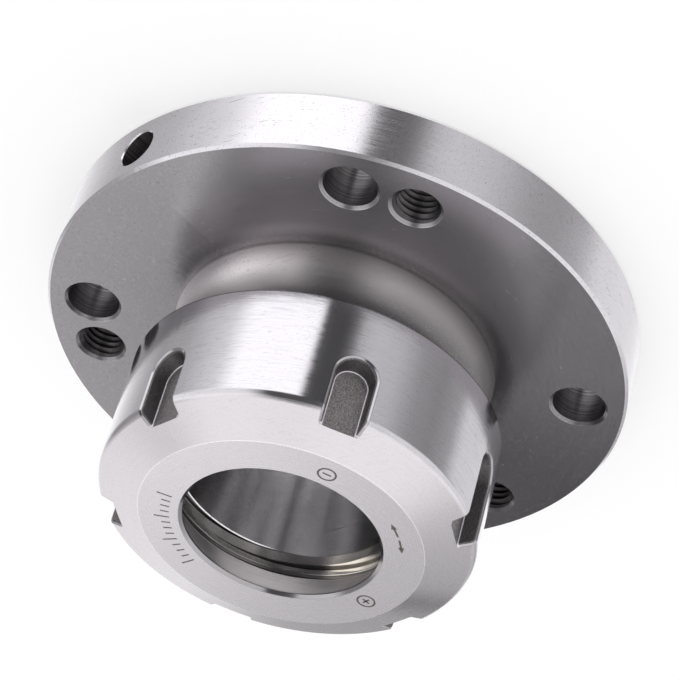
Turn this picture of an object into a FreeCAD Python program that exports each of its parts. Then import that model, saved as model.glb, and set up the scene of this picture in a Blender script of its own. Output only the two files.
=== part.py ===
# Lathe collet chuck: flanged body with an 8 degree collet socket, screwed clamping nut
# and the eccentric extraction ring that turns inside the nut. Millimetres, +Z along the
# axis from the flange's back face (Z = 0) to the nut's nose.
import FreeCAD, Part
import math
import os

# flange of the body
flange_diameter = 100.0
flange_thickness = 12.0
flange_chamfer = 0.5
body_length = 40.0            # back face to nose face
bolt_circle_step = 8.0        # rim to the centres of the screw holes
register_step = 6.0           # hole centres to the recess that seats on the spindle plate
register_depth = 3.2
register_chamfer = 0.4

# round shoulder and threaded neck in front of the flange
shoulder_diameter = 55.2
shoulder_wall = 0.75          # straight part before the rounding starts
shoulder_round = 9.0
thread_diameter = 50.0
thread_pitch = 1.5
thread_depth_share = 0.5413   # inner thread's depth over its pitch
thread_length = 13.0
relief_depth = 0.7            # run-out groove behind the thread
nose_chamfer = 1.0

# collet socket and through bore
taper_diameter = 39.8         # at the nose face
taper_half_angle = 8.0
taper_length = 33.0
taper_chamfer = 0.2
bore_diameter = 30.0

# holes in the flange
bolt_count = 4
bolt_hole_diameter = 9.0
bolt_hole_chamfer = 0.5
bolt_angle = 45.0
tapped_count = 3
tapped_diameter = 8.0         # drawn at the thread's outer diameter
tapped_chamfer = 0.5
tapped_angle = 60.0
rim_hole_diameter = 7.0       # blind hole for the holding bar
rim_hole_depth = 10.0
rim_hole_height = 6.15
rim_hole_angle = 1.6
rim_hole_chamfer = 0.2
drill_point_angle = 118.0

# clamping nut, heights from its rear face
nut_diameter = 63.0
nut_length = 25.0
nut_rear_chamfer = 0.3
nut_face_diameter = 47.4      # flat ring round the mouth
nut_cone_angle = 23.5         # fall of the front cone from the face plane
nut_corner_round = 1.4
mouth_diameter = 33.0
mouth_chamfer = 0.5
mouth_land = 0.3
seat_half_angle = 30.0        # cone that presses the collet home
seat_diameter = 38.8          # large end of the seat
undercut_depth = 1.4
undercut_width = 1.1
thread_clearance = 0.08       # radial, between neck and nut
thread_entry = 1.1            # chamfer that leads the nut onto the neck
nut_thread_length = 12.4
nut_relief_depth = 0.4        # run-out groove past the thread's outer radius

# spanner slots of the nut
slot_count = 6
slot_width = 6.8              # at the nut's outer cylinder
slot_wall_lean = 11.0         # the walls lean outwards
slot_floor = 28.5             # flat floor, distance from the axis
slot_end_centre = 13.8        # centre of the rounded rear end, from the nut's rear face
long_slots = (-120.0, 60.0)   # two opposite slots reach further back
long_slot_extra = 3.4
slot_edge_break = 0.45        # bevel along the slot's rim

# extraction ring and its pocket in the nut
ring_diameter = 45.8
ring_length = 3.35
ring_inner_diameter = 39.6
ring_inner_length = 1.05
ring_edge_round = 0.25
ring_groove_depth = 1.3
ring_groove_width = 0.5
lip_diameter = 38.6           # eccentric lip that hooks the collet's groove
lip_offset = 1.5
lip_angle = 54.0
ring_running_gap = 0.1
snap_height = 0.25            # lip that holds the ring in the nut
snap_width = 0.5
snap_setback = 0.3            # ring's rear face to the lip's rear
ring_nose_gap = 0.3           # ring to body nose with the nut screwed home

cut_past = 1.0                # how far a cutter runs past the faces that it opens
tiny = 0.001                  # two sizes this near are the same

# derived radii and heights
flange_radius = flange_diameter / 2
bolt_circle_radius = flange_radius - bolt_circle_step
register_radius = bolt_circle_radius - register_step
shoulder_radius = shoulder_diameter / 2
nut_bore_radius = thread_diameter / 2 - thread_depth_share * thread_pitch
neck_radius = nut_bore_radius - thread_clearance
relief_radius = neck_radius - relief_depth
taper_slope = math.tan(math.radians(taper_half_angle))
nut_radius = nut_diameter / 2
cone_slope = math.tan(math.radians(nut_cone_angle))
cone_foot = nut_length - (nut_radius - nut_face_diameter / 2) * cone_slope
seat_top = nut_length - mouth_chamfer - mouth_land
seat_end = seat_top - (seat_diameter - mouth_diameter) / 2 / math.tan(math.radians(seat_half_angle))
pocket_top = seat_end - undercut_width
pocket_radius = ring_diameter / 2 + ring_running_gap
ring_top = pocket_top - ring_running_gap
ring_rear = ring_top - ring_length
snap_top = ring_rear + snap_setback + snap_width
snap_radius = pocket_radius - snap_height
nut_rest_height = body_length + ring_nose_gap - ring_rear


def revolved(corners):
    """Solid of revolution about Z from (radius, height) corners; a 3-item corner
    (radius, height, (mid radius, mid height)) is reached by an arc."""
    edges = []
    loop = corners + [corners[0]]
    for start, end in zip(loop[:-1], loop[1:]):
        a = FreeCAD.Vector(start[0], 0, start[1])
        b = FreeCAD.Vector(end[0], 0, end[1])
        if len(end) == 3:
            middle = FreeCAD.Vector(end[2][0], 0, end[2][1])
            edges.append(Part.Arc(a, middle, b).toShape())
        else:
            edges.append(Part.makeLine(a, b))
    face = Part.Face(Part.Wire(edges))
    return face.revolve(FreeCAD.Vector(0, 0, 0), FreeCAD.Vector(0, 0, 1), 360)


def arc_corner(centre, radius, end_angle, mid_angle):
    """Corner reached by an arc; angles in degrees from the outward radial direction."""
    def at(angle):
        a = math.radians(angle)
        return (centre[0] + radius * math.cos(a), centre[1] + radius * math.sin(a))
    end = at(end_angle)
    return (end[0], end[1], at(mid_angle))


def turned(shape, angle):
    copy = shape.copy()
    copy.rotate(FreeCAD.Vector(0, 0, 0), FreeCAD.Vector(0, 0, 1), angle)
    return copy


def ring_of(shape, count, first_angle):
    return [turned(shape, first_angle + 360.0 * i / count) for i in range(count)]


def shared_edges(shape, is_first, is_second):
    """Edges where a face of the first kind meets one of the second kind."""
    edges = []
    for edge in shape.Edges:
        faces = shape.ancestorsOfType(edge, Part.Face)
        if any(is_first(face) for face in faces) and any(is_second(face) for face in faces):
            edges.append(edge)
    return edges


def flange_hole(diameter, chamfer):
    """Cutter for a hole through the flange, with both edges chamfered."""
    r = diameter / 2
    t = flange_thickness
    cutter = revolved([(0, -cut_past), (r + chamfer + cut_past, -cut_past), (r, chamfer),
                       (r, t - chamfer), (r + chamfer + cut_past, t + cut_past),
                       (0, t + cut_past)])
    cutter.translate(FreeCAD.Vector(bolt_circle_radius, 0, 0))
    return cutter


def rim_hole():
    r = rim_hole_diameter / 2
    tip = r / math.tan(math.radians(drill_point_angle / 2))
    cutter = revolved([(0, -cut_past), (r, -cut_past), (r, rim_hole_depth),
                       (0, rim_hole_depth + tip)])
    cutter.rotate(FreeCAD.Vector(0, 0, 0), FreeCAD.Vector(0, 1, 0), -90)
    cutter.translate(FreeCAD.Vector(flange_radius, 0, rim_hole_height))
    return turned(cutter, rim_hole_angle)


def is_rim(face):
    surface = face.Surface
    return isinstance(surface, Part.Cylinder) and abs(surface.Radius - flange_radius) < tiny


def is_rim_hole(face):
    surface = face.Surface
    return isinstance(surface, Part.Cylinder) and abs(surface.Axis.z) < tiny


def chuck_body():
    shoulder_centre = (shoulder_radius - shoulder_round, flange_thickness + shoulder_wall)
    shoulder_end = math.degrees(math.acos((relief_radius - shoulder_centre[0]) / shoulder_round))
    shoulder_top = arc_corner(shoulder_centre, shoulder_round, shoulder_end, shoulder_end / 2)
    thread_start = body_length - thread_length
    taper_end = body_length - taper_length
    taper_end_radius = taper_diameter / 2 - taper_length * taper_slope
    entry_depth = taper_chamfer / (1 + taper_slope)
    profile = [
        (bore_diameter / 2, register_depth),
        (bore_diameter / 2, taper_end),
        (taper_end_radius, taper_end),
        (taper_diameter / 2 - entry_depth * taper_slope, body_length - entry_depth),
        (taper_diameter / 2 + taper_chamfer - entry_depth * taper_slope, body_length),
        (neck_radius - nose_chamfer, body_length),
        (neck_radius, body_length - nose_chamfer),
        (neck_radius, thread_start),
        (relief_radius, thread_start - relief_depth),
        (relief_radius, shoulder_top[1]),
        (shoulder_radius, flange_thickness + shoulder_wall, shoulder_top[2]),
        (shoulder_radius, flange_thickness),
        (flange_radius - flange_chamfer, flange_thickness),
        (flange_radius, flange_thickness - flange_chamfer),
        (flange_radius, flange_chamfer),
        (flange_radius - flange_chamfer, 0),
        (register_radius + register_chamfer, 0),
        (register_radius, register_chamfer),
        (register_radius, register_depth),
    ]
    body = revolved(profile)
    holes = ring_of(flange_hole(bolt_hole_diameter, bolt_hole_chamfer), bolt_count, bolt_angle)
    holes += ring_of(flange_hole(tapped_diameter, tapped_chamfer), tapped_count, tapped_angle)
    holes.append(rim_hole())
    body = body.cut(holes)
    return body.makeChamfer(rim_hole_chamfer, shared_edges(body, is_rim, is_rim_hole))


def slot_cutter(extra):
    """One spanner slot on the +X side, open to the front, with a full-round rear end and
    walls that lean outwards; extra is how much further back it starts."""
    height = nut_radius - slot_floor + cut_past
    lean = math.tan(math.radians(slot_wall_lean))
    top = slot_width / 2 + cut_past * lean
    foot = top - height * lean
    start = FreeCAD.Vector(slot_floor, 0, slot_end_centre - extra)
    round_end = Part.makeCone(foot, top, height, start, FreeCAD.Vector(1, 0, 0))
    corners = [(0, -foot), (height, -top), (height, top), (0, foot), (0, -foot)]
    outline = Part.makePolygon([FreeCAD.Vector(x, y, 0) for x, y in corners])
    run = Part.Face(outline).extrude(FreeCAD.Vector(0, 0, nut_length))
    run.translate(start)
    return round_end.fuse(run).removeSplitter()


def slot_cutters():
    cutters = []
    for i in range(slot_count):
        angle = 360.0 * i / slot_count
        is_long = any(abs(math.remainder(angle - a, 360)) < tiny for a in long_slots)
        cutters.append(turned(slot_cutter(long_slot_extra if is_long else 0), angle))
    return cutters


def is_slot_wall(face):
    """Leaning wall or rounded end of a slot; not its floor, which faces away from the axis."""
    surface = face.Surface
    if isinstance(surface, Part.Cone):
        return abs(surface.Axis.z) < tiny
    if not isinstance(surface, Part.Plane) or abs(surface.Axis.z) > tiny:
        return False
    outwards = FreeCAD.Vector(face.CenterOfMass.x, face.CenterOfMass.y, 0).normalize()
    return abs(surface.Axis.dot(outwards)) < 0.5


def is_nut_outside(face):
    surface = face.Surface
    return isinstance(surface, Part.Toroid) or abs(surface.Axis.z) > 0.5


def clamping_nut():
    turn = 90 - nut_cone_angle
    tangent = nut_corner_round * math.tan(math.radians(turn / 2))
    corner_centre = (nut_radius - nut_corner_round, cone_foot - tangent)
    bore_relief = thread_diameter / 2 + nut_relief_depth
    profile = [
        (nut_bore_radius + thread_entry, 0),
        (nut_radius - nut_rear_chamfer, 0),
        (nut_radius, nut_rear_chamfer),
        (nut_radius, corner_centre[1]),
        arc_corner(corner_centre, nut_corner_round, turn, turn / 2),
        (nut_face_diameter / 2, nut_length),
        (mouth_diameter / 2 + mouth_chamfer, nut_length),
        (mouth_diameter / 2, nut_length - mouth_chamfer),
        (mouth_diameter / 2, seat_top),
        (seat_diameter / 2, seat_end),
        (seat_diameter / 2 + undercut_depth, seat_end),
        (seat_diameter / 2 + undercut_depth, pocket_top),
        (pocket_radius, pocket_top),
        (pocket_radius, snap_top),
        (snap_radius, snap_top),
        (snap_radius, snap_top - snap_width),
        (bore_relief, snap_top - snap_width),
        (bore_relief, nut_thread_length + bore_relief - nut_bore_radius),
        (nut_bore_radius, nut_thread_length),
        (nut_bore_radius, thread_entry),
    ]
    nut = revolved(profile)
    nut = nut.cut(slot_cutters())
    nut = nut.makeChamfer(slot_edge_break, shared_edges(nut, is_nut_outside, is_slot_wall))
    nut.translate(FreeCAD.Vector(0, 0, nut_rest_height))
    return nut


def extraction_ring():
    r = ring_diameter / 2
    inner = ring_inner_diameter / 2
    groove_top = ring_top - ring_inner_length
    tail_radius = snap_radius - ring_running_gap
    lip_blank = lip_diameter / 2 - lip_offset - cut_past
    edge_centre = (inner + ring_edge_round, ring_top - ring_edge_round)
    profile = [
        (inner, edge_centre[1]),
        (inner, groove_top),
        (inner + ring_groove_depth, groove_top),
        (inner + ring_groove_depth, groove_top - ring_groove_width),
        (lip_blank, groove_top - ring_groove_width),
        (lip_blank, ring_rear),
        (tail_radius, ring_rear),
        (tail_radius, snap_top + ring_running_gap),
        (r, snap_top + ring_running_gap),
        (r, ring_top),
        (inner + ring_edge_round, ring_top),
    ]
    profile[0] = arc_corner(edge_centre, ring_edge_round, 180, 135)
    ring = revolved(profile)
    lip_height = ring_top - ring_inner_length - ring_groove_width - ring_rear
    lip_bore = Part.makeCylinder(lip_diameter / 2, lip_height + cut_past,
                                 FreeCAD.Vector(lip_offset, 0, ring_rear - cut_past))
    ring = ring.cut(turned(lip_bore, lip_angle))
    ring.translate(FreeCAD.Vector(0, 0, nut_rest_height))
    return ring


os.makedirs("parts", exist_ok=True)
nodes = {"chuck_body": chuck_body, "clamping_nut": clamping_nut,
         "extraction_ring": extraction_ring}
for name, make in nodes.items():
    shape = make().removeSplitter()
    shape = shape.Solids[0] if len(shape.Solids) == 1 else shape
    shape.exportStep("parts/%s.step" % name)
    box = shape.BoundBox
    print(name, "solids", len(shape.Solids), "valid", shape.isValid(),
          "z %.2f to %.2f" % (box.ZMin, box.ZMax))
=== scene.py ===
import math

import bmesh
import bpy
from mathutils import Matrix, Quaternion, Vector


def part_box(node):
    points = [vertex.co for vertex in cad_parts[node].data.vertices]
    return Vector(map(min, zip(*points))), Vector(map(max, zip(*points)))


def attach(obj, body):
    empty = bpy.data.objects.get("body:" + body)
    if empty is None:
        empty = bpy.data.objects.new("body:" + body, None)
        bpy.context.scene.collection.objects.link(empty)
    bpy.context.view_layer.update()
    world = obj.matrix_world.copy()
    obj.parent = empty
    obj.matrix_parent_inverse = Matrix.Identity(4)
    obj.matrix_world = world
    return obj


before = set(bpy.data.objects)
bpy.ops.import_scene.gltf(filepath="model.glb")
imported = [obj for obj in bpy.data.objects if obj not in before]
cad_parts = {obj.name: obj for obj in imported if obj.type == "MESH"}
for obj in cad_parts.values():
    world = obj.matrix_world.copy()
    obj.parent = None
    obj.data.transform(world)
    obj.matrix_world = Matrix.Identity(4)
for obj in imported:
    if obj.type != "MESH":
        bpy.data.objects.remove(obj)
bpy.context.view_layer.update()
mm = 0.001

# Chuck body: one steel bar turned to a flange, a round shoulder and a threaded neck, then bored
# with an 8 degree socket. The rim and the socket are ground bright, the flange's face and the
# shoulder are left as turned, with a satin, slightly brown skin.
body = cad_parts["chuck_body"]
body_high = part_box("chuck_body")[1]
rim_radius = body_high.x
nose_height = body_high.z
flange_height = 12 * mm
shoulder_radius = 27.6 * mm
socket_radius = 20.45 * mm      # its mouth, with the broken edge and a thin ring of the nose
recess_radius = 36 * mm
recess_depth = 3.2 * mm
edge_break = 0.5 * mm
far = 1.0                       # a metre, past every size of the chuck
sharp = 0.02 * mm               # softness of a mask's border that follows an edge of the steel
softer = 0.03 * mm              # the same where the edge is seen from close by
past_edge = 0.05 * mm           # how far from its edge such a border lies
under_flat = 0.06 * mm          # how far below a flat such a border lies
steel_cast = (1.02, 0.985, 1.045)
socket_tone = (0.865, 0.855, 0.865, 1)


def node(tree, kind, inputs=None, **settings):
    """A shader node with its settings, and its inputs given as values or as sockets to join."""
    made = tree.nodes.new("ShaderNode" + kind)
    for name, value in settings.items():
        setattr(made, name, value)
    for name, value in (inputs or {}).items():
        socket = made.inputs[name]
        if isinstance(value, bpy.types.NodeSocket):
            tree.links.new(value, socket)
        else:
            socket.default_value = value
    return made


def calc(tree, operation, *values, clamp=False):
    """Result of a sum, product or other operation on numbers and sockets."""
    inputs = dict(enumerate(values))
    return node(tree, "Math", inputs, operation=operation, use_clamp=clamp).outputs[0]


def vector(tree, operation, *values, scale=None):
    """Does with vectors what calc does with single values."""
    inputs = dict(enumerate(values))
    if scale is not None:
        inputs["Scale"] = scale
    return node(tree, "VectorMath", inputs, operation=operation).outputs[0]


def between(tree, value, low, high, soft):
    """Mask that is 1 where the value lies between low and high, with soft edges."""
    rise = node(tree, "MapRange", {"Value": value, "From Min": low - soft, "From Max": low + soft},
                interpolation_type="SMOOTHSTEP").outputs[0]
    fall = node(tree, "MapRange", {"Value": value, "From Min": high - soft, "From Max": high + soft},
                interpolation_type="SMOOTHSTEP").outputs[0]
    return calc(tree, "SUBTRACT", rise, fall, clamp=True)


def sector(tree, angle, first, last, soft):
    """Mask of a stretch round the axis; its two ends and their softness are in degrees."""
    return between(tree, angle, math.radians(first), math.radians(last), math.radians(soft))


def lean(tree, angle, towards):
    """Value that is 1 at an angle in degrees and falls to 0 on the far side of the axis."""
    nearness = calc(tree, "COSINE", calc(tree, "SUBTRACT", angle, math.radians(towards)))
    return calc(tree, "MULTIPLY_ADD", nearness, 0.5, 0.5)


def swing(tree, noise, size):
    """Makes a noise that runs from 0 to 1 swing about zero."""
    return calc(tree, "MULTIPLY", calc(tree, "SUBTRACT", noise, 0.5), size)


def contrast(tree, noise, dark, light):
    """Stretches a noise, so that it is 0 at the dark level and 1 at the light one."""
    return node(tree, "MapRange", {"Value": noise, "From Min": dark, "From Max": light}).outputs[0]


def sparse(tree, noise, share, soft):
    """Mask of the few highest places of a noise, more of them where the share is large."""
    most, spread = 0.8, 0.2
    limit = calc(tree, "SUBTRACT", most, calc(tree, "MULTIPLY", share, spread))
    return contrast(tree, noise, limit, calc(tree, "ADD", limit, soft))


def mix_value(tree, mask, below, above):
    """The Mix node's inputs go by number, because it has several called A and B."""
    return node(tree, "Mix", {0: mask, 2: below, 3: above}, data_type="FLOAT").outputs[0]


def mix_colour(tree, mask, below, above):
    return node(tree, "Mix", {0: mask, 6: below, 7: above}, data_type="RGBA").outputs[2]


def lay(tree, colour, mask, tone, strength):
    """Lays a tone over a colour where the mask is, as thick as the strength says."""
    return mix_colour(tree, calc(tree, "MULTIPLY", mask, strength), colour, tone)


def by_area(tree, value, areas):
    """A value that changes from area to area, given as pairs of a mask and the value there."""
    for mask, there in areas:
        value = mix_value(tree, mask, value, there)
    return value


def grey(level, warm=0.0, straw=0.0):
    """Steel's grey, a touch violet; warm moves it towards brown and straw towards yellow."""
    red, green, blue = steel_cast
    return (level * (red + warm), level * green, level * (blue - warm - straw), 1)


def new_group(name, inputs, outputs):
    """Empty shader group with its sockets, its input node and its output node."""
    tree = bpy.data.node_groups.new(name, "ShaderNodeTree")
    for label, value in inputs.items():
        socket = tree.interface.new_socket(label, in_out="INPUT", socket_type="NodeSocketFloat")
        socket.default_value = value
    for label, kind in outputs.items():
        tree.interface.new_socket(label, in_out="OUTPUT", socket_type="NodeSocket" + kind)
    return tree, tree.nodes.new("NodeGroupInput").outputs, tree.nodes.new("NodeGroupOutput").inputs


def place_group():
    """Where a point lies on a turned piece: its radius from the axis, its height and its angle."""
    tree, _, result = new_group("turned_place", {}, {"Radius": "Float", "Height": "Float",
                                                     "Angle": "Float"})
    spot = node(tree, "SeparateXYZ", {0: node(tree, "TexCoord").outputs["Object"]}).outputs
    square = calc(tree, "MULTIPLY", spot["X"], spot["X"])
    radius = calc(tree, "SQRT", calc(tree, "MULTIPLY_ADD", spot["Y"], spot["Y"], square))
    tree.links.new(radius, result["Radius"])
    tree.links.new(spot["Z"], result["Height"])
    tree.links.new(calc(tree, "ARCTAN2", spot["Y"], spot["X"]), result["Angle"])
    return tree


turned_place = place_group()


def tool_lines_group():
    """Fine lines that the lathe tool or the grinding wheel leaves round the axis: short streaks
    that tilt the surface a little across and along the lines. Where Turned is 1 the surface is
    round about the axis, so its normal has no part along the lines."""
    tree, given, result = new_group(
        "tool_lines", {"Width": 0.3 * mm, "Length": 4 * mm, "Across": 0.02, "Along": 0.01,
                       "Turned": 0.0}, {"Normal": "Vector", "Streaks": "Float"})
    spot = node(tree, "SeparateXYZ", {0: node(tree, "TexCoord").outputs["Object"]}).outputs
    place = node(tree, "Group", node_tree=turned_place).outputs
    row = calc(tree, "DIVIDE", calc(tree, "ADD", place["Radius"], place["Height"]), given["Width"])
    run = [calc(tree, "DIVIDE", spot[axis], given["Length"]) for axis in "XY"]
    where = node(tree, "CombineXYZ", {"X": run[0], "Y": run[1], "Z": row}).outputs[0]
    streaks = node(tree, "TexNoise", {"Vector": where, "Scale": 1.0, "Detail": 3.0,
                                      "Roughness": 0.6})

    circle = node(tree, "CombineXYZ", {"X": calc(tree, "MULTIPLY", spot["Y"], -1.0),
                                       "Y": spot["X"]}).outputs[0]
    circle = node(tree, "VectorTransform", {0: circle}, vector_type="VECTOR",
                  convert_from="OBJECT", convert_to="WORLD").outputs[0]
    circle = vector(tree, "NORMALIZE", circle)
    upright = node(tree, "NewGeometry").outputs["Normal"]
    astray = node(tree, "VectorMath", {0: upright, 1: circle}, operation="DOT_PRODUCT")
    astray = calc(tree, "MULTIPLY", astray.outputs["Value"], given["Turned"])
    upright = vector(tree, "SUBTRACT", upright, vector(tree, "SCALE", circle, scale=astray))
    upright = vector(tree, "NORMALIZE", upright)

    along = node(tree, "Tangent", direction_type="RADIAL", axis="Z").outputs[0]
    across = vector(tree, "CROSS_PRODUCT", upright, along)
    tilts = node(tree, "SeparateColor", {0: streaks.outputs["Color"]}).outputs
    tilted = upright
    for direction, tilt, share in ((along, tilts[0], "Along"), (across, tilts[1], "Across")):
        step = vector(tree, "SCALE", direction, scale=swing(tree, tilt, given[share]))
        tilted = vector(tree, "ADD", tilted, step)
    tree.links.new(vector(tree, "NORMALIZE", tilted), result["Normal"])
    tree.links.new(streaks.outputs[0], result["Streaks"])
    return tree


tool_lines = tool_lines_group()


def handling_group():
    """What handling and cleaning leave on bare steel: soft cloudy stains and small dark specks."""
    tree, given, result = new_group(
        "handling_marks", {"Cloud Size": 12 * mm, "Speck Size": 0.5 * mm, "Speck Share": 0.3},
        {"Clouds": "Float", "Specks": "Float"})
    spot = node(tree, "TexCoord").outputs["Object"]
    scale = calc(tree, "DIVIDE", 1.0, given["Cloud Size"])
    clouds = node(tree, "TexNoise", {"Vector": spot, "Scale": scale, "Detail": 4.0})
    scale = calc(tree, "DIVIDE", 1.0, given["Speck Size"])
    dots = node(tree, "TexNoise", {"Vector": spot, "Scale": scale, "Detail": 1.0})
    specks = sparse(tree, dots.outputs[0], given["Speck Share"], soft=0.05)
    tree.links.new(clouds.outputs[0], result["Clouds"])
    tree.links.new(specks, result["Specks"])
    return tree


handling_marks = handling_group()


def scratches_group():
    """Sparse hair scratches that run straight in two directions, each given in degrees as its
    turn about the axis and its tilt."""
    directions = ((25, 20), (112, -15))
    hair_width = 0.16 * mm
    tree, given, result = new_group("fine_scratches", {"Length": 8 * mm, "Share": 0.3},
                                    {"Scratches": "Float"})
    spot = node(tree, "TexCoord").outputs["Object"]
    long_scale = calc(tree, "DIVIDE", 1.0, given["Length"])
    total = 0.0
    for turn, tilt in directions:
        turned = node(tree, "Mapping", {"Vector": spot, "Rotation": (math.radians(tilt), 0,
                                                                      math.radians(turn))})
        part = node(tree, "SeparateXYZ", {0: turned.outputs[0]}).outputs
        where = node(tree, "CombineXYZ", {
            "X": calc(tree, "MULTIPLY", part["X"], long_scale),
            "Y": calc(tree, "DIVIDE", part["Y"], hair_width),
            "Z": calc(tree, "DIVIDE", part["Z"], hair_width)}).outputs[0]
        hair = node(tree, "TexNoise", {"Vector": where, "Scale": 1.0, "Detail": 0.0}).outputs[0]
        total = calc(tree, "MAXIMUM", sparse(tree, hair, given["Share"], soft=0.06), total)
    tree.links.new(total, result["Scratches"])
    return tree


fine_scratches = scratches_group()


def steel_shader(material, colour, roughness, normal, drawn_out, metallic=1.0):
    """Bare steel whose gloss is drawn out across the tool lines, a quarter turn from them."""
    tree = material.node_tree
    along = node(tree, "Tangent", direction_type="RADIAL", axis="Z").outputs[0]
    shader = node(tree, "BsdfPrincipled", {
        "Base Color": colour, "Metallic": metallic, "Roughness": roughness, "Normal": normal,
        "Anisotropic": drawn_out, "Anisotropic Rotation": 0.25, "Tangent": along})
    output = node(tree, "OutputMaterial")
    tree.links.new(shader.outputs[0], output.inputs["Surface"])


def new_material(name):
    material = bpy.data.materials.new(name)
    material.use_nodes = True
    material.node_tree.nodes.clear()
    return material


def body_areas(tree, place):
    """Masks of the flange's face, the shoulder with the neck, the socket with the bore, the nose,
    the walls of the flange's holes, and all that stands over the flange."""
    radius, height = place["Radius"], place["Height"]
    over = between(tree, height, flange_height - under_flat, far, sharp)
    wide = between(tree, radius, shoulder_radius + past_edge, far, softer)
    inside = calc(tree, "MULTIPLY", between(tree, radius, -far, socket_radius, sharp),
                  between(tree, height, recess_depth + under_flat, far, sharp))
    face = calc(tree, "MULTIPLY",
                between(tree, height, flange_height - edge_break - sharp, far, sharp),
                between(tree, radius, shoulder_radius + past_edge, rim_radius - edge_break, softer))
    slim = calc(tree, "SUBTRACT", calc(tree, "SUBTRACT", 1.0, wide), inside, clamp=True)
    shoulder = calc(tree, "MULTIPLY", over, slim)
    nose = between(tree, height, nose_height - past_edge, far, sharp)
    bored = calc(tree, "MULTIPLY",
                 between(tree, radius, recess_radius + edge_break, rim_radius - edge_break / 2,
                         sharp),
                 between(tree, height, edge_break + past_edge, flange_height - edge_break, sharp))
    return face, shoulder, inside, nose, bored, over


def face_skin_and_painted_light(tree, place, face, colour):
    """Satin skin of the flange's face, with painted light: painted shade on one side, a patch lifted
    by painted light on another near the shoulder, and painted shade at the shoulder's foot."""
    light_patch_radius, light_patch_fade, foot_shade_width = 39 * mm, 5 * mm, 2.8 * mm
    colour = mix_colour(tree, face, colour, grey(0.39, 0.01))
    turn = calc(tree, "FLOORED_MODULO", place["Angle"], 2 * math.pi)
    # Painted shade darkens one side of the face.
    shade_stretch = calc(tree, "MULTIPLY", sector(tree, turn, 135, 214, soft=24), face)
    colour = lay(tree, colour, shade_stretch, grey(0.12, 0.01), strength=0.62)
    # Painted light lifts a patch of the face near the shoulder.
    light_patch = calc(tree, "MULTIPLY", sector(tree, turn, 258, 358, soft=14),
                 between(tree, place["Radius"], -far, light_patch_radius, light_patch_fade))
    light_patch = calc(tree, "MULTIPLY", light_patch, face)
    colour = lay(tree, colour, light_patch, grey(0.68, 0.02), strength=0.6)
    clear = sector(tree, place["Angle"], 18, 165, soft=14)
    # Painted shade darkens the face at the shoulder's foot, except on one stretch.
    foot_shade = calc(tree, "MULTIPLY",
                between(tree, place["Radius"], -far, shoulder_radius + foot_shade_width, foot_shade_width / 2),
                calc(tree, "SUBTRACT", face, clear, clamp=True))
    return lay(tree, colour, foot_shade, grey(0.12, 0.02), strength=0.72)


def shoulder_skin_and_painted_light(tree, place):
    """Skin of the shoulder and the neck with painted light: brighter on one side as if lit,
    brightest low down there as a painted highlight, and painted shade from where the nut's shade
    starts."""
    shade_height, shade_fade = flange_height + 5.2 * mm, 2 * mm
    # Painted light: one side is brighter, as if lit from there.
    lit_side = calc(tree, "POWER", lean(tree, place["Angle"], towards=25), 1.5)
    skin = mix_colour(tree, lit_side, grey(0.24, 0.03, 0.02), grey(0.62, 0.03, 0.02))
    shaded = between(tree, place["Height"], shade_height, far, shade_fade)
    # Painted highlight low down on the lit side.
    pale = calc(tree, "MULTIPLY", calc(tree, "SUBTRACT", 1.0, shaded),
                sector(tree, place["Angle"], -15, 95, soft=16))
    skin = mix_colour(tree, pale, skin, grey(0.92, 0.02, 0.02))
    return lay(tree, skin, shaded, grey(0.08, 0.03, 0.02), strength=0.65)


def bored_walls_and_shade(tree, height):
    """Walls of the drilled holes, kept dark as painted shade, with the uneven rings that a drill
    leaves.
    """
    ring_spacing = 0.35 * mm
    rings = node(tree, "TexNoise", {"W": height, "Scale": 1 / ring_spacing, "Detail": 2.0},
                 noise_dimensions="1D").outputs[0]
    rings = contrast(tree, rings, dark=0.35, light=0.65)
    # The dark greys are painted shade inside the holes; the rings are the drill's.
    return mix_colour(tree, rings, grey(0.09, 0.02), grey(0.22, 0.02))


def shoulder_foot_shade(tree, place):
    """Mask of the corner between shoulder and flange, where painted shade darkens it."""
    shade_size, thin_edge, low_edge = 0.3 * mm, 0.12 * mm, 0.1 * mm
    return calc(tree, "MULTIPLY",
                between(tree, place["Radius"], shoulder_radius - shade_size,
                        shoulder_radius + thin_edge, thin_edge),
                between(tree, place["Height"], flange_height - low_edge,
                        flange_height + shade_size, 2 * low_edge))


def rub_marks(tree, place):
    """Mask of short radial scratches on the flange, in one patch beside the shoulder."""
    hair_turn, hair_length = math.radians(0.45), 3.5 * mm
    patch_radius, patch_fade = 32.5 * mm, 2.5 * mm
    where = node(tree, "CombineXYZ", {"X": calc(tree, "DIVIDE", place["Angle"], hair_turn),
                                      "Y": calc(tree, "DIVIDE", place["Radius"], hair_length)})
    hair = node(tree, "TexNoise", {"Vector": where.outputs[0], "Scale": 1.0, "Detail": 1.0},
                noise_dimensions="2D").outputs[0]
    patch = calc(tree, "MULTIPLY", sector(tree, place["Angle"], 9, 24, soft=7),
                 between(tree, place["Radius"], 0, patch_radius, patch_fade))
    return calc(tree, "MULTIPLY", contrast(tree, hair, dark=0.56, light=0.66), patch)


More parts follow.
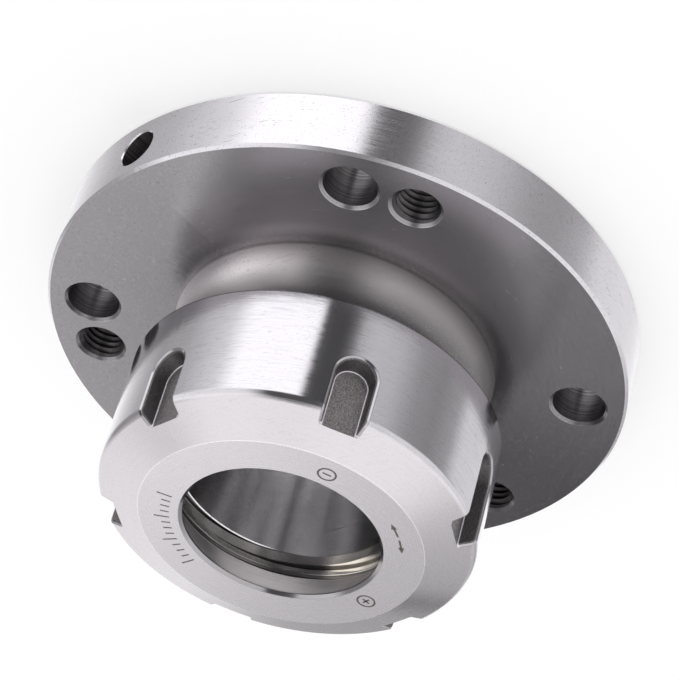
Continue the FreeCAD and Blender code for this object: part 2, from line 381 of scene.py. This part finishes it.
def body_steel():
    material = new_material("turned_steel")
    tree = material.node_tree
    place = node(tree, "Group", node_tree=turned_place).outputs
    marks = node(tree, "Group", {"Cloud Size": 9 * mm, "Speck Size": 0.35 * mm,
                                 "Speck Share": 0.6}, node_tree=handling_marks).outputs
    scratches = node(tree, "Group", {"Length": 6 * mm, "Share": 0.4},
                     node_tree=fine_scratches).outputs["Scratches"]
    face, shoulder, inside, nose, bored, over = body_areas(tree, place)
    flatter = calc(tree, "ADD", face, inside, clamp=True)
    fine = node(tree, "Group", {"Width": 0.25 * mm, "Length": 5 * mm,
                                "Across": mix_value(tree, flatter, 0.06, 0.02),
                                "Along": mix_value(tree, flatter, 0.03, 0.008),
                                "Turned": calc(tree, "MAXIMUM", shoulder, inside)},
                node_tree=tool_lines).outputs

    colour = face_skin_and_painted_light(tree, place, face, grey(0.71))
    colour = mix_colour(tree, shoulder, colour, shoulder_skin_and_painted_light(tree, place))
    colour = mix_colour(tree, inside, colour, socket_tone)
    colour = lay(tree, colour, nose, grey(0.22, 0.02), strength=0.8)
    colour = mix_colour(tree, bored, colour, bored_walls_and_shade(tree, place["Height"]))
    # Painted shade in the corner at the shoulder's foot.
    colour = lay(tree, colour, shoulder_foot_shade(tree, place), grey(0.12, 0.03), strength=0.6)
    colour = lay(tree, colour, marks["Clouds"], grey(0.24, 0.03), strength=0.2)
    sunk = calc(tree, "MULTIPLY", face, calc(tree, "SUBTRACT", 1.0, over))
    colour = lay(tree, colour, sunk, grey(0.14, 0.01), strength=0.5)
    colour = lay(tree, colour, scratches, mix_colour(tree, face, grey(0.30), grey(0.60)),
                 strength=mix_value(tree, face, 0.65, 0.35))
    rub_and_glint = calc(tree, "MULTIPLY", rub_marks(tree, place), face)
    colour = lay(tree, colour, rub_and_glint, grey(0.12, 0.02), strength=0.5)
    specks = calc(tree, "MULTIPLY", marks["Specks"], face)
    colour = lay(tree, colour, specks, grey(0.12, 0.02), strength=0.5)

    roughness = by_area(tree, 0.20, ((face, 0.26), (shoulder, 0.36), (inside, 0.14), (bored, 0.36)))
    streaks = swing(tree, fine["Streaks"], mix_value(tree, flatter, 0.2, 0.06))
    roughness = calc(tree, "ADD", roughness, streaks, clamp=True)
    metallic = by_area(tree, 0.9, ((face, 0.87), (shoulder, 0.84), (inside, 1.0)))
    steel_shader(material, colour, roughness, fine["Normal"], drawn_out=0.5, metallic=metallic)
    return material


turned_steel = body_steel()
body.data.materials.clear()
body.data.materials.append(turned_steel)

# Threads of the body: M50 x 1.5 on the neck, cut with a single-point tool, and M8 x 1.25 tapped
# through the flange. The neck's ridges show once the nut is unscrewed.
neck_radius = 24.108 * mm
hole_circle = 42 * mm
tapped_count = 3
tapped_start = 60


def finish_piece(mesh, name, material, body_name, smooth_angle=30):
    """Turns a bmesh into a piece that rides on a body of the chuck."""
    bmesh.ops.recalc_face_normals(mesh, faces=mesh.faces)
    data = bpy.data.meshes.new(name)
    mesh.to_mesh(data)
    mesh.free()
    data.materials.append(material)
    data.shade_smooth()
    data.set_sharp_from_angle(angle=math.radians(smooth_angle))
    piece = bpy.data.objects.new(name, data)
    bpy.context.scene.collection.objects.link(piece)
    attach(piece, body_name)


def ridge(mesh, corners, pitch, turns, steps):
    """Screws an open outline of (radius, height) corners round the axis, so many steps a turn."""
    points = [mesh.verts.new((radius, 0, height)) for radius, height in corners]
    edges = [mesh.edges.new(pair) for pair in zip(points[:-1], points[1:])]
    bmesh.ops.spin(mesh, geom=points + edges, cent=(0, 0, 0), axis=(0, 0, 1),
                   dvec=(0, 0, pitch / steps), angle=2 * math.pi * turns,
                   steps=round(steps * turns), use_merge=False, use_duplicate=False)


def neck_thread():
    """The ridge rises out of the neck at its run-out and falls to the chamfer of the nose. Its
    crest starts and ends at shares of the pitch."""
    pitch, turns = 1.5 * mm, 8.2
    crest_start, crest_end = 0.43, 0.57
    crest_radius = 24.97 * mm
    root_radius = neck_radius - 0.02 * mm
    buried_radius = neck_radius - 0.1 * mm
    start = nose_height - 12.9 * mm
    chamfer_start = nose_height - 1.1 * mm
    mesh = bmesh.new()
    ridge(mesh, [(root_radius, start), (crest_radius, start + crest_start * pitch),
                 (crest_radius, start + crest_end * pitch), (root_radius, start + pitch)],
          pitch, turns, steps=96)
    for vertex in mesh.verts:
        reach = math.hypot(vertex.co.x, vertex.co.y)
        limit = min(crest_radius, crest_radius - (vertex.co.z - chamfer_start),
                    neck_radius + 2 * (vertex.co.z - start))
        share = min(1, max(limit, buried_radius) / reach)
        vertex.co.x *= share
        vertex.co.y *= share
    finish_piece(mesh, "neck_thread", turned_steel, "body", smooth_angle=20)


def tapped_finish():
    material = new_material("tapped_steel")
    tree = material.node_tree
    marks = node(tree, "Group", {"Cloud Size": 2 * mm, "Speck Size": 0.3 * mm,
                                 "Speck Share": 0.5}, node_tree=handling_marks).outputs
    # Very dark greys as painted shade inside the tapped holes, clouded by handling marks.
    colour = mix_colour(tree, marks["Clouds"], grey(0.02, 0.02), grey(0.13, 0.02))
    roughness = mix_value(tree, marks["Clouds"], 0.45, 0.25)
    bump = node(tree, "Bump", {"Height": marks["Clouds"], "Strength": 0.2, "Distance": 0.1 * mm})
    steel_shader(material, colour, roughness, bump.outputs[0], drawn_out=0.0)
    return material


def tapped_threads():
    """Each tap's ridges run through the flange, and the countersinks at both faces cut them. The
    ridge's crest and its end lie at shares of the pitch."""
    pitch, turns, lift = 1.25 * mm, 8.6, 0.05 * mm
    wall_radius, crest_radius, sink_radius = 4.02 * mm, 3.36 * mm, 4.52 * mm
    crest_start, crest_end, ridge_end = 0.40, 0.53, 0.93
    outline = [(wall_radius, 0), (crest_radius, crest_start * pitch),
               (crest_radius, crest_end * pitch), (wall_radius, ridge_end * pitch)]
    finish = tapped_finish()
    for index in range(tapped_count):
        mesh = bmesh.new()
        ridge(mesh, outline, pitch, turns, steps=60)
        bmesh.ops.translate(mesh, verts=mesh.verts, vec=(0, 0, lift))
        for vertex in mesh.verts:
            reach = math.hypot(vertex.co.x, vertex.co.y)
            depth = min(vertex.co.z, flange_height - vertex.co.z)
            share = max(reach, sink_radius - depth) / reach
            vertex.co.x *= share
            vertex.co.y *= share
        angle = math.radians(tapped_start + 360 / tapped_count * index)
        move = Vector((hole_circle * math.cos(angle), hole_circle * math.sin(angle), 0))
        bmesh.ops.translate(mesh, verts=mesh.verts, vec=move)
        finish_piece(mesh, "tapped_thread_%d" % (index + 1), finish, "body",
                     smooth_angle=20)


neck_thread()
tapped_threads()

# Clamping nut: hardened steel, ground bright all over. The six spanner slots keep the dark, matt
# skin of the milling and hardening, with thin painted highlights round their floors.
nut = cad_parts["clamping_nut"]
nut_low, nut_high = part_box("clamping_nut")
rear_chamfer = 0.3 * mm
cone_start = nut_low.z + 21.6 * mm
inner_radius = 23.2 * mm
mouth_chamfer = 0.5 * mm
mouth_radius = 17 * mm
seat_radius = 19.4 * mm
seat_end = nut_low.z + 19.18 * mm
slot_step = math.radians(60)
slot_floor = 28.5 * mm          # distance from the axis
slot_foot = 2.82 * mm           # half the floor's width
slot_lean = math.tan(math.radians(11))
slot_end = nut_low.z + 13.8 * mm
long_slot_extra = 3.4 * mm
grit_size = 0.24 * mm


def slot_areas(tree, place):
    """Masks of the spanner slots: floor and walls, the walls alone, the corner round the floor,
    and the bevel along the rim. Two opposite slots reach further back."""
    corner_width, corner_height, corner_soft = 0.14 * mm, 0.12 * mm, 0.05 * mm
    bevel_outer, bevel_inner, bevel_foot = 0.6 * mm, 0.18 * mm, 0.3 * mm
    skin_margin = 0.2 * mm
    turn = calc(tree, "ADD", place["Angle"], slot_step / 2)
    fold = calc(tree, "SUBTRACT", calc(tree, "FLOORED_MODULO", turn, slot_step), slot_step / 2)
    depth = calc(tree, "MULTIPLY", place["Radius"], calc(tree, "COSINE", fold))
    aside = calc(tree, "MULTIPLY", place["Radius"], calc(tree, "SINE", fold))
    from_long = calc(tree, "SUBTRACT", place["Angle"], slot_step)
    is_long = calc(tree, "GREATER_THAN",
                   calc(tree, "ABSOLUTE", calc(tree, "COSINE", from_long)), math.cos(slot_step / 2))
    end = calc(tree, "SUBTRACT", slot_end, calc(tree, "MULTIPLY", is_long, long_slot_extra))
    behind = calc(tree, "MAXIMUM", calc(tree, "SUBTRACT", end, place["Height"]), 0.0)
    reach = calc(tree, "SQRT", calc(tree, "MULTIPLY_ADD", behind, behind,
                                    calc(tree, "MULTIPLY", aside, aside)))
    above = calc(tree, "SUBTRACT", depth, slot_floor)
    inward = calc(tree, "SUBTRACT", calc(tree, "MULTIPLY_ADD", above, slot_lean, slot_foot), reach)
    skin = calc(tree, "MULTIPLY", between(tree, inward, -skin_margin, far, 2 * sharp),
                between(tree, above, -sharp, far, sharp / 2))
    wall = calc(tree, "MULTIPLY", skin, between(tree, above, past_edge, far, 2 * sharp))
    corner = calc(tree, "MULTIPLY", between(tree, inward, -far, corner_width, corner_soft),
                  between(tree, above, -far, corner_height, corner_soft))
    bevel = calc(tree, "MULTIPLY",
                 between(tree, inward, -bevel_outer, -bevel_inner, bevel_inner / 3),
                 between(tree, above, bevel_foot, far, bevel_foot / 3))
    return skin, wall, calc(tree, "MULTIPLY", corner, skin), bevel


def seat_skin_and_painted_light(tree, place):
    """Steel of the bore and the seat. One stretch of the seat carries a painted highlight, and
    another painted shade."""
    # Painted highlight on one stretch of the seat, painted shade on another.
    highlight_stretch = sector(tree, place["Angle"], 102, 152, soft=11)
    shade_stretch = sector(tree, place["Angle"], 40, 96, soft=7)
    skin = mix_colour(tree, highlight_stretch, grey(0.42, 0.02, 0.03), grey(0.80, 0.02, 0.03))
    return mix_colour(tree, shade_stretch, skin, grey(0.16, 0.02, 0.02))


def slot_grain(tree, grit, wall):
    """Speckled dark skin of the slots, with painted shade that darkens their walls."""
    grains = contrast(tree, grit, dark=0.36, light=0.66)
    grain = mix_colour(tree, grains, grey(0.14, 0.04), grey(0.42, 0.04))
    # Painted shade on the slots' walls.
    return lay(tree, grain, wall, grey(0.08, 0.04), strength=0.6)


def nut_finish():
    material = new_material("nut_steel")
    tree = material.node_tree
    place = node(tree, "Group", node_tree=turned_place).outputs
    radius, height = place["Radius"], place["Height"]
    marks = node(tree, "Group", {"Cloud Size": 7 * mm, "Speck Size": 0.3 * mm,
                                 "Speck Share": 0.4}, node_tree=handling_marks).outputs
    scratches = node(tree, "Group", {"Length": 7 * mm, "Share": 0.45},
                     node_tree=fine_scratches).outputs["Scratches"]
    grit = node(tree, "TexNoise", {"Vector": node(tree, "TexCoord").outputs["Object"],
                                   "Scale": 1 / grit_size, "Detail": 3.0,
                                   "Roughness": 0.75}).outputs[0]

    skin, wall, corner, bevel = slot_areas(tree, place)
    front = between(tree, height, cone_start, far, 0.2 * mm)
    flat = between(tree, height, nut_high.z - under_flat, far, sharp)
    inner_end = nut_high.z - mouth_chamfer - past_edge
    inner = calc(tree, "MULTIPLY", between(tree, radius, -far, inner_radius, past_edge),
                 between(tree, height, -far, inner_end, sharp))
    mouth = calc(tree, "MULTIPLY", between(tree, height, inner_end - past_edge, far, sharp),
                 between(tree, radius, -far, mouth_radius + sharp, softer))
    # Painted shade along the nut's rear edge, in the gap at the shoulder.
    rear = calc(tree, "MULTIPLY",
                between(tree, radius, nut_high.x - rear_chamfer - 8 * past_edge, far, 2 * past_edge),
                between(tree, height, -far, nut_low.z + rear_chamfer + 4 * past_edge, softer))
    # Painted highlights: a thin line at the seat's edge, and the corner round each slot's floor.
    seat_edge = calc(tree, "MULTIPLY",
                     between(tree, height, seat_end - softer, seat_end + 0.16 * mm, past_edge),
                     between(tree, radius, -far, seat_radius + 2 * past_edge, sharp))
    bright = calc(tree, "MAXIMUM", corner, seat_edge)
    fine = node(tree, "Group", {"Width": 0.22 * mm, "Length": 4 * mm,
                                "Across": mix_value(tree, front, 0.05, 0.02),
                                "Along": mix_value(tree, front, 0.03, 0.008), "Turned": inner},
                node_tree=tool_lines).outputs

    colour = mix_colour(tree, front, grey(0.58), grey(0.72, 0.015))
    # Painted light: the flat face is brighter on one side, as if lit from there.
    lit_face = mix_colour(tree, lean(tree, place["Angle"], towards=-28), grey(0.77, 0.012),
                        grey(0.94, 0.012))
    colour = mix_colour(tree, flat, colour, lit_face)
    colour = mix_colour(tree, inner, colour, seat_skin_and_painted_light(tree, place))
    # Painted shade at the rear edge.
    colour = mix_colour(tree, rear, colour, grey(0.20, 0.02))
    colour = mix_colour(tree, mouth, colour, grey(0.38, 0.01))
    colour = lay(tree, colour, marks["Clouds"], grey(0.45, 0.01), strength=0.10)
    lines = contrast(tree, fine["Streaks"], dark=0.5, light=0.7)
    colour = lay(tree, colour, lines, grey(0.25), strength=mix_value(tree, front, 0.20, 0.03))
    colour = lay(tree, colour, scratches, grey(0.22), strength=mix_value(tree, front, 0.28, 0.12))
    colour = lay(tree, colour, bevel, grey(0.14), strength=0.35)
    colour = mix_colour(tree, skin, colour, slot_grain(tree, grit, wall))
    # Painted highlights on the slots' floor corners and the seat's edge.
    colour = mix_colour(tree, bright, colour, grey(0.95))

    roughness = by_area(tree, 0.13, ((front, 0.27), (inner, 0.42), (mouth, 0.12)))
    streaks = swing(tree, fine["Streaks"], mix_value(tree, front, 0.14, 0.06))
    roughness = calc(tree, "ADD", roughness, streaks, clamp=True)
    roughness = by_area(tree, roughness, ((skin, 0.5), (corner, 0.3)))
    metallic = by_area(tree, 1.0, ((flat, 0.6), (bright, 0.55)))
    bump = node(tree, "Bump", {"Height": calc(tree, "MULTIPLY", grit, skin), "Strength": 0.5,
                               "Distance": 0.12 * mm, "Normal": fine["Normal"]})
    steel_shader(material, colour, roughness, bump.outputs[0], drawn_out=0.5, metallic=metallic)
    return material


nut.data.materials.clear()
nut.data.materials.append(nut_finish())

# Marks on the nut's face, burnt in by laser: two small curved arrows that point apart, a plus and
# a minus in rings for tighten and loosen, and a short scale of plain ticks.
mark_depth = 0.03 * mm
mark_proud = 0.004 * mm
stroke = 0.34 * mm
arrow_circle = 20 * mm
arrow_middle = -117.4       # angles on the face are in degrees
arrow_gap = 1.2
arrow_length = 6
arrow_reach = 8.2
arrow_head = 0.75 * mm
arrow_long = 1.25           # the head's length and width, against an even triangle
arrow_wide = 0.8
sign_circle = 19.9 * mm
sign_radius = 1.45 * mm
sign_bar = 1.5 * mm
minus_angle = -64.4
plus_angle = -175.9
scale_radius = 18.5 * mm
scale_start = 33
tick_count = 13
tick_step = 4.4
tick_width = 0.3 * mm
short_tick = 1.5 * mm
long_tick = 2.6 * mm


def etched_finish():
    material = new_material("etched_mark")
    tree = material.node_tree
    grit = node(tree, "TexNoise", {"Vector": node(tree, "TexCoord").outputs["Object"],
                                   "Scale": 1 / (0.25 * mm), "Detail": 2.0}).outputs[0]
    colour = mix_colour(tree, grit, grey(0.10, 0.10), grey(0.26, 0.12))
    bump = node(tree, "Bump", {"Height": grit, "Strength": 0.4, "Distance": 0.05 * mm})
    steel_shader(material, colour, 0.5, bump.outputs[0], drawn_out=0.0)
    return material


def face_place(radius, angle):
    return Matrix.Rotation(math.radians(angle), 4, "Z") @ Matrix.Translation((radius, 0, 0))


def set_stroke(mesh, place):
    """Puts the flat outline that was just drawn in its place and gives it its thickness. Faces of
    finished strokes are tagged."""
    faces = [face for face in mesh.faces if not face.tag]
    corners = list({vertex for face in faces for vertex in face.verts})
    bmesh.ops.transform(mesh, matrix=place, verts=corners)
    raised = bmesh.ops.extrude_face_region(mesh, geom=faces)["geom"]
    top = [part for part in raised if isinstance(part, bmesh.types.BMVert)]
    bmesh.ops.translate(mesh, verts=top, vec=(0, 0, mark_depth + mark_proud))
    for face in mesh.faces:
        face.tag = True


def band(mesh, radius, angle, place):
    """Curved stroke of a radius and an angle round its own centre; 360 degrees close it."""
    points = [mesh.verts.new((radius + side * stroke / 2, 0, 0)) for side in (-1, 1)]
    edge = mesh.edges.new(points)
    bmesh.ops.spin(mesh, geom=points + [edge], cent=(0, 0, 0), axis=(0, 0, 1),
                   angle=math.radians(angle), steps=max(6, round(angle / 5)),
                   use_merge=angle == 360)
    set_stroke(mesh, place)


def bar(mesh, radius, angle, long, wide):
    """Straight stroke along the radial line, its middle at a radius and angle on the face."""
    bmesh.ops.create_grid(mesh, x_segments=1, y_segments=1, size=0.5)
    set_stroke(mesh, face_place(radius, angle) @ Matrix.Diagonal((long, wide, 1, 1)))


def head(mesh, radius, angle, turn):
    """Arrow head whose tip points along the turn angle from the radial line."""
    bmesh.ops.create_circle(mesh, cap_ends=True, segments=3, radius=arrow_head)
    shape = Matrix.Diagonal((arrow_long, arrow_wide, 1, 1))
    shape = shape @ Matrix.Rotation(math.radians(-90), 4, "Z")
    set_stroke(mesh, face_place(radius, angle) @ Matrix.Rotation(math.radians(turn), 4, "Z") @ shape)


def face_marks():
    mesh = bmesh.new()
    for side in (-1, 1):
        first = arrow_middle + (arrow_gap if side > 0 else -arrow_gap - arrow_length)
        band(mesh, arrow_circle, arrow_length, Matrix.Rotation(math.radians(first), 4, "Z"))
        head(mesh, arrow_circle, arrow_middle + side * arrow_reach, turn=90 * side)
    for angle in (minus_angle, plus_angle):
        spot = (sign_circle * math.cos(math.radians(angle)),
                sign_circle * math.sin(math.radians(angle)), 0)
        band(mesh, sign_radius, 360, Matrix.Translation(spot))
        bar(mesh, sign_circle, angle, stroke, sign_bar)
    bar(mesh, sign_circle, plus_angle, sign_bar, stroke)
    for index in range(tick_count):
        long = long_tick if index % 4 == 0 else short_tick
        bar(mesh, scale_radius + long / 2, scale_start + tick_step * index, long, tick_width)
    bmesh.ops.translate(mesh, verts=mesh.verts, vec=(0, 0, nut_high.z - mark_depth))
    finish_piece(mesh, "face_marks", etched_finish(), "nut")


face_marks()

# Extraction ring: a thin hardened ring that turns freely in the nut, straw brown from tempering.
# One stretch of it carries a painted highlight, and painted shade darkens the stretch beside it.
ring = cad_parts["extraction_ring"]


def ring_finish():
    material = new_material("ring_steel")
    tree = material.node_tree
    fine = node(tree, "Group", {"Width": 0.15 * mm, "Length": 6 * mm, "Across": 0.05,
                                "Along": 0.02}, node_tree=tool_lines).outputs
    marks = node(tree, "Group", {"Cloud Size": 5 * mm, "Speck Size": 0.3 * mm,
                                 "Speck Share": 0.3}, node_tree=handling_marks).outputs
    angle = node(tree, "Group", node_tree=turned_place).outputs["Angle"]
    turn = calc(tree, "FLOORED_MODULO", angle, 2 * math.pi)
    colour = mix_colour(tree, marks["Clouds"], grey(0.26, 0.02, 0.06), grey(0.40, 0.02, 0.06))
    # Painted shade on one stretch, and a painted highlight on the stretch beside it.
    shade_stretch = sector(tree, turn, 124, 153, soft=8)
    colour = lay(tree, colour, shade_stretch, grey(0.10, 0.02, 0.02), strength=0.7)
    rub_and_glint = sector(tree, turn, 156, 184, soft=4)
    colour = mix_colour(tree, rub_and_glint, colour, grey(0.97, 0.02, 0.11))
    roughness = calc(tree, "ADD", 0.11, swing(tree, fine["Streaks"], 0.08), clamp=True)
    steel_shader(material, colour, roughness, fine["Normal"], drawn_out=0.4, metallic=0.76)
    return material


ring.data.materials.clear()
ring.data.materials.append(ring_finish())

# Floor: a plain pale sheet of paper under the chuck. It shows white and keeps the soft shadow. The
# bright steel doesn't mirror it, and it is clear from below, where the chuck's back shows.
paper_tone = (0.62, 0.62, 0.62, 1)
paper_glow = 0.42
paper_radius = 3.0
paper_drop = 0.02 * mm
white = (1, 1, 1, 1)


def floor_paper():
    material = new_material("floor_paper")
    tree = material.node_tree
    seen = node(tree, "LightPath").outputs["Is Camera Ray"]
    glow = node(tree, "Emission", {"Color": white,
                                   "Strength": calc(tree, "MULTIPLY", seen, paper_glow)})
    matt = node(tree, "BsdfDiffuse", {"Color": paper_tone})
    top = node(tree, "AddShader", {0: matt.outputs[0], 1: glow.outputs[0]})
    both = node(tree, "MixShader", {0: node(tree, "NewGeometry").outputs["Backfacing"],
                                    1: top.outputs[0], 2: node(tree, "BsdfTransparent").outputs[0]})
    output = node(tree, "OutputMaterial")
    tree.links.new(both.outputs[0], output.inputs["Surface"])
    return material


def floor_sheet():
    mesh = bmesh.new()
    bmesh.ops.create_circle(mesh, cap_ends=True, segments=64, radius=paper_radius)
    bmesh.ops.translate(mesh, verts=mesh.verts, vec=(0, 0, -paper_drop))
    data = bpy.data.meshes.new("floor")
    mesh.to_mesh(data)
    mesh.free()
    data.materials.append(floor_paper())
    floor = bpy.data.objects.new("floor", data)
    bpy.context.scene.collection.objects.link(floor)
    floor.visible_glossy = False


floor_sheet()

# Studio light: even light from all round. What the bright steel mirrors is a tent of pale panels,
# given as levels by the compass, below the horizon and above it, and two white and three black
# cards in front of them.
floor_panels = ((-180, 1.0), (-151, 1.0), (-141, 0.52), (-124, 0.37), (-108, 0.45), (-90, 0.76),
                (-74, 0.83), (-66, 0.70), (-60, 0.22), (-55, 0.10), (-42, 0.10), (-38.5, 1.75),
                (2, 1.75), (14, 1.1), (42, 0.60), (66, 0.50), (88, 0.85), (104, 1.15), (146, 1.2),
                (165, 1.0), (180, 1.0))
wall_panels = ((-180, 0.66), (-166, 0.9), (-158, 1.12), (-112, 1.1), (-86, 1.1), (-64, 1.1),
               (-55, 0.5), (-51, 0.12), (-24, 0.12), (-12, 1.25), (34, 1.25), (47, 0.45),
               (74, 0.42), (86, 1.0), (122, 1.0), (130, 0.5), (158, 0.55), (180, 0.66))
brightest_panel = 2.0
# Each card: its two azimuths, its two heights, its soft edge, all in degrees, and its level.
cards = (((88, 126), (-30, -14), 4, 1.4), ((141, 158), (-24, -5), 3, 1.4),
         ((-50, -8), (50, 78), 5, 0.12), ((127, 150), (6, 43), 2, 0.0),
         ((135, 175), (-75, -48), 5, 0.08))
# Bands of the tent by the upward part of a direction: where each starts, how soft, and its level.
wall_foot, wall_soft = -0.37, 0.06
roof_foot, roof_soft, roof_level = 0.76, 0.12, 1.1
table_rim, table_soft, table_level = -0.82, 0.04, 0.45
table_heart, heart_soft, heart_level = -0.95, 0.02, 0.9
past_all = 2                # no direction's upward part is as large


def panel_ramp(tree, azimuth, panels):
    """Light level by azimuth, from (degrees, level) stops."""
    share = node(tree, "MapRange", {"Value": azimuth, "From Min": -math.pi,
                                    "From Max": math.pi}).outputs[0]
    ramp = node(tree, "ValToRGB", {0: share})
    stops = ramp.color_ramp.elements
    while len(stops) < len(panels):
        stops.new(0.5)
    for stop, (degrees, level) in zip(stops, panels):
        stop.position = (degrees + 180) / 360
        tone = level / brightest_panel
        stop.color = (tone, tone, tone, 1)
    return calc(tree, "MULTIPLY", ramp.outputs[0], brightest_panel)


def studio():
    world = bpy.data.worlds.new("studio")
    world.use_nodes = True
    tree = world.node_tree
    tree.nodes.clear()
    way = node(tree, "SeparateXYZ", {0: node(tree, "TexCoord").outputs["Generated"]}).outputs
    azimuth = calc(tree, "ARCTAN2", way["Y"], way["X"])
    height = calc(tree, "ARCSINE", way["Z"])
    level = by_area(tree, panel_ramp(tree, azimuth, floor_panels), (
        (between(tree, way["Z"], wall_foot, past_all, wall_soft),
         panel_ramp(tree, azimuth, wall_panels)),
        (between(tree, way["Z"], roof_foot, past_all, roof_soft), roof_level),
        (between(tree, way["Z"], -past_all, table_rim, table_soft), table_level),
        (between(tree, way["Z"], -past_all, table_heart, heart_soft), heart_level)))
    for azimuths, heights, soft, card_level in cards:
        card = calc(tree, "MULTIPLY", sector(tree, azimuth, *azimuths, soft=soft),
                    sector(tree, height, *heights, soft=soft))
        level = mix_value(tree, card, level, card_level)
    mirrored = node(tree, "LightPath").outputs["Is Glossy Ray"]
    tent = node(tree, "Background", {"Color": white, "Strength": level})
    plain = node(tree, "Background", {"Color": white, "Strength": 1.0})
    both = node(tree, "MixShader", {0: mirrored, 1: plain.outputs[0], 2: tent.outputs[0]})
    output = node(tree, "OutputWorld")
    tree.links.new(both.outputs[0], output.inputs["Surface"])
    bpy.context.scene.world = world


studio()

# Camera: a long lens from in front of the nut and above the flange's face, held nearly upside
# down, as the chuck hangs in the picture.
camera_spot = Vector((261.6, -334.3, 347.1)) * mm
camera_aim = Vector((-0.25, -0.19, 8.68)) * mm
camera_roll = math.radians(-163.52)
camera_data = bpy.data.cameras.new("camera")
camera_data.lens = 170.1
camera_data.sensor_width = 36
camera_data.clip_start = 0.01
camera_data.clip_end = 50
camera = bpy.data.objects.new("camera", camera_data)
bpy.context.scene.collection.objects.link(camera)
camera.location = camera_spot
look = (camera_aim - camera_spot).to_track_quat("-Z", "Y")
camera.rotation_mode = "QUATERNION"
camera.rotation_quaternion = look @ Quaternion((0, 0, 1), camera_roll)
bpy.context.scene.camera = camera
bpy.context.scene.view_settings.view_transform = "Standard"
